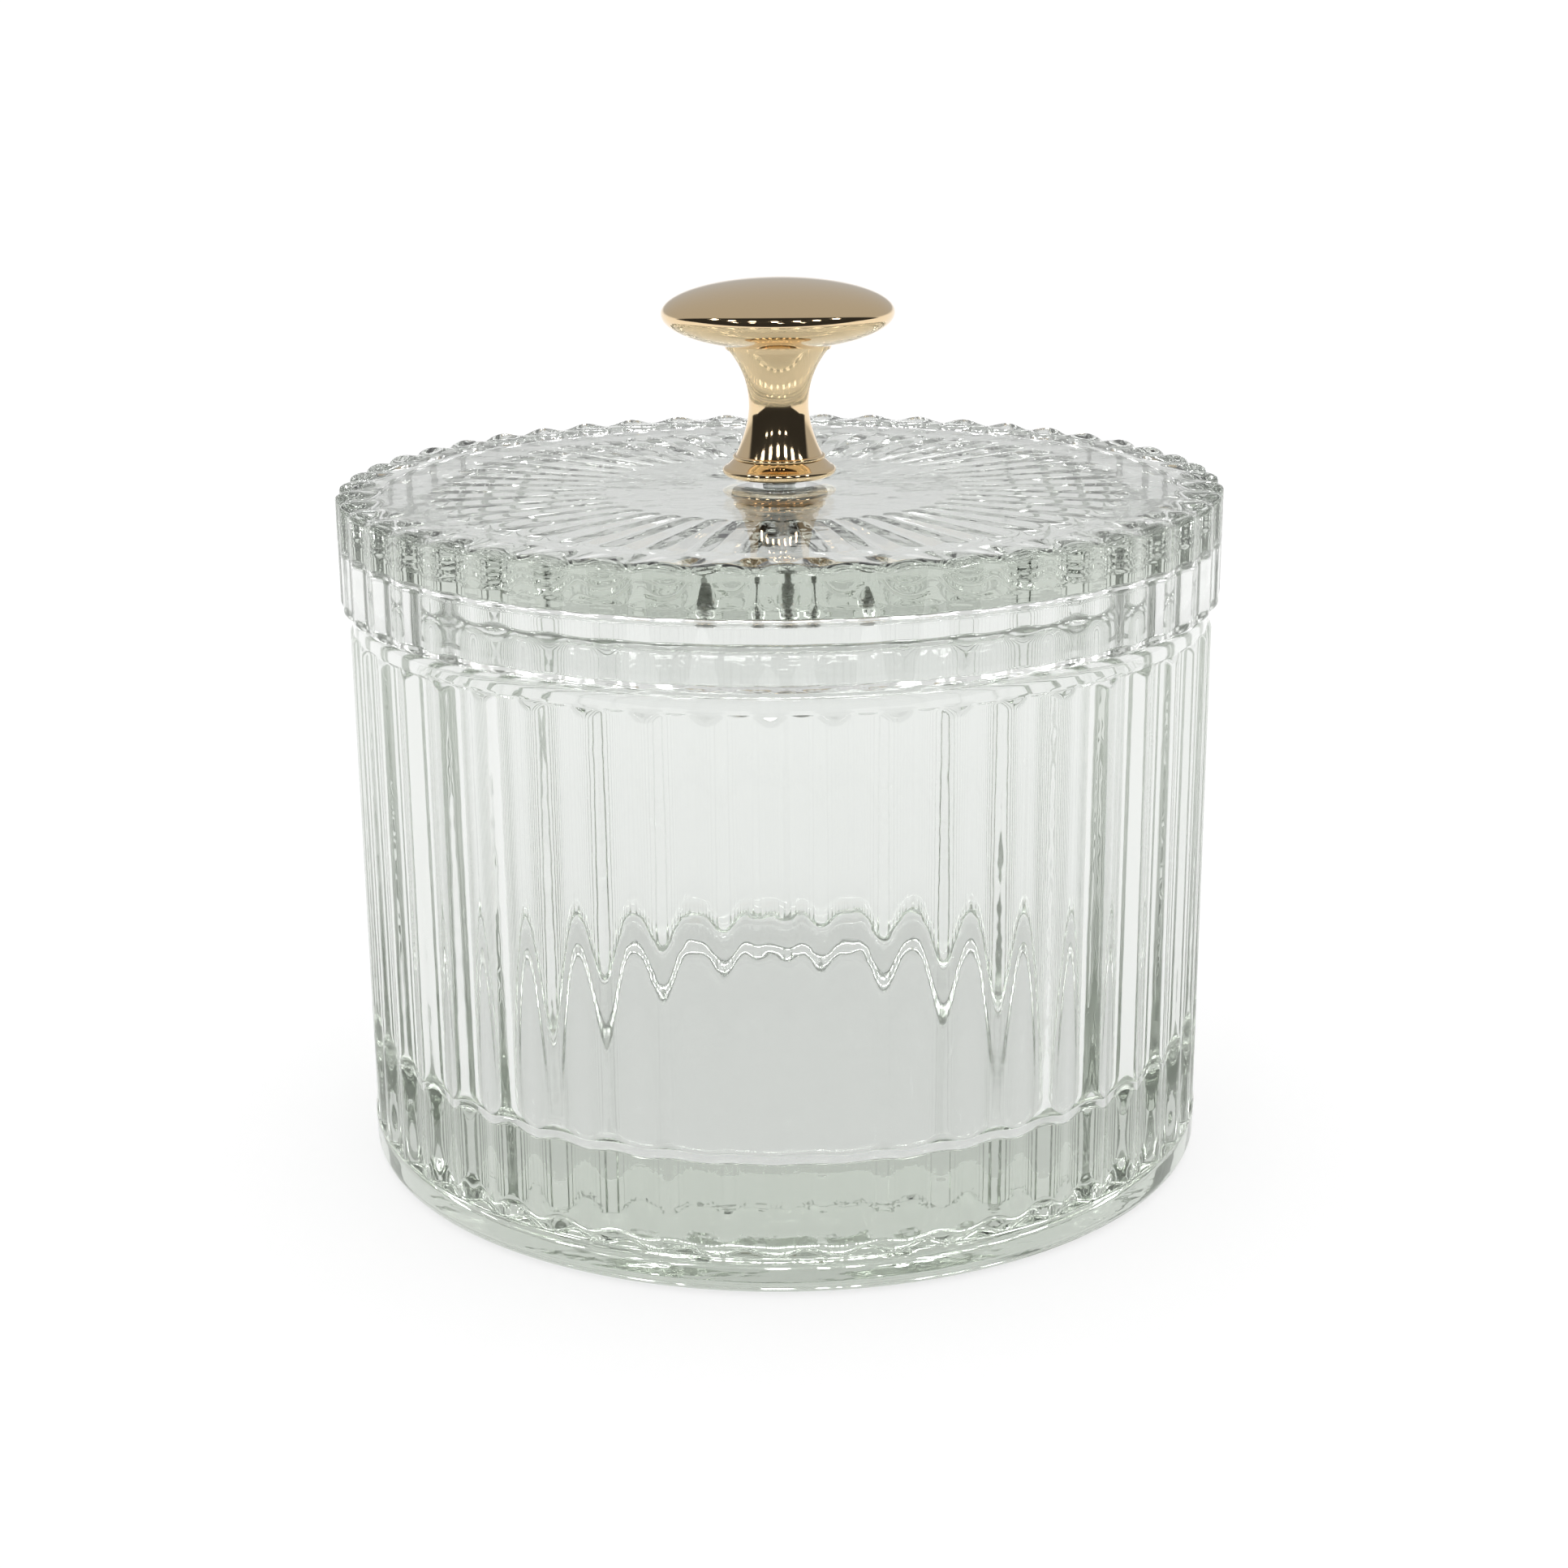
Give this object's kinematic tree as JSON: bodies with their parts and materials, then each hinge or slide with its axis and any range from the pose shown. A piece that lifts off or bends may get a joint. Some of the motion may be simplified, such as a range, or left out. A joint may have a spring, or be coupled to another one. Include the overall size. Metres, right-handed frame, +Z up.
{
  "type": "lidded candle jar",
  "caption": "Empty round clear-glass candle jar with fluted sides, a fluted cap lid that lifts off, and a gold-coloured mushroom knob screwed to the lid.",
  "frame": {"origin": "centre of the flat ring that the jar stands on", "axes": "+Z up along the jar's axis, -Y towards the side that the picture shows"},
  "size_m": [0.1, 0.1, 0.1005],
  "materials": {
    "jar_glass": "fire-polished pressed glass",
    "lid_glass": "fire-polished pressed glass",
    "knob_gold": "polished champagne-gold plating",
    "screw_steel": "zinc plated",
    "washer_steel": "zinc plated",
    "soft_washer": "translucent soft plastic"
  },
  "bodies": {
    "jar": {"jar": "jar_glass"},
    "lid": {"lid": "lid_glass", "knob": "knob_gold", "knob_screw": "screw_steel", "screw_washer": "washer_steel", "knob_gasket": "soft_washer", "lid_gasket": "soft_washer"}
  },
  "joints": [
    {"name": "lid_lift", "type": "slide", "parent": "jar", "child": "lid", "axis": [0, 0, 1], "range_m": [0, 0.05]}
  ]
}
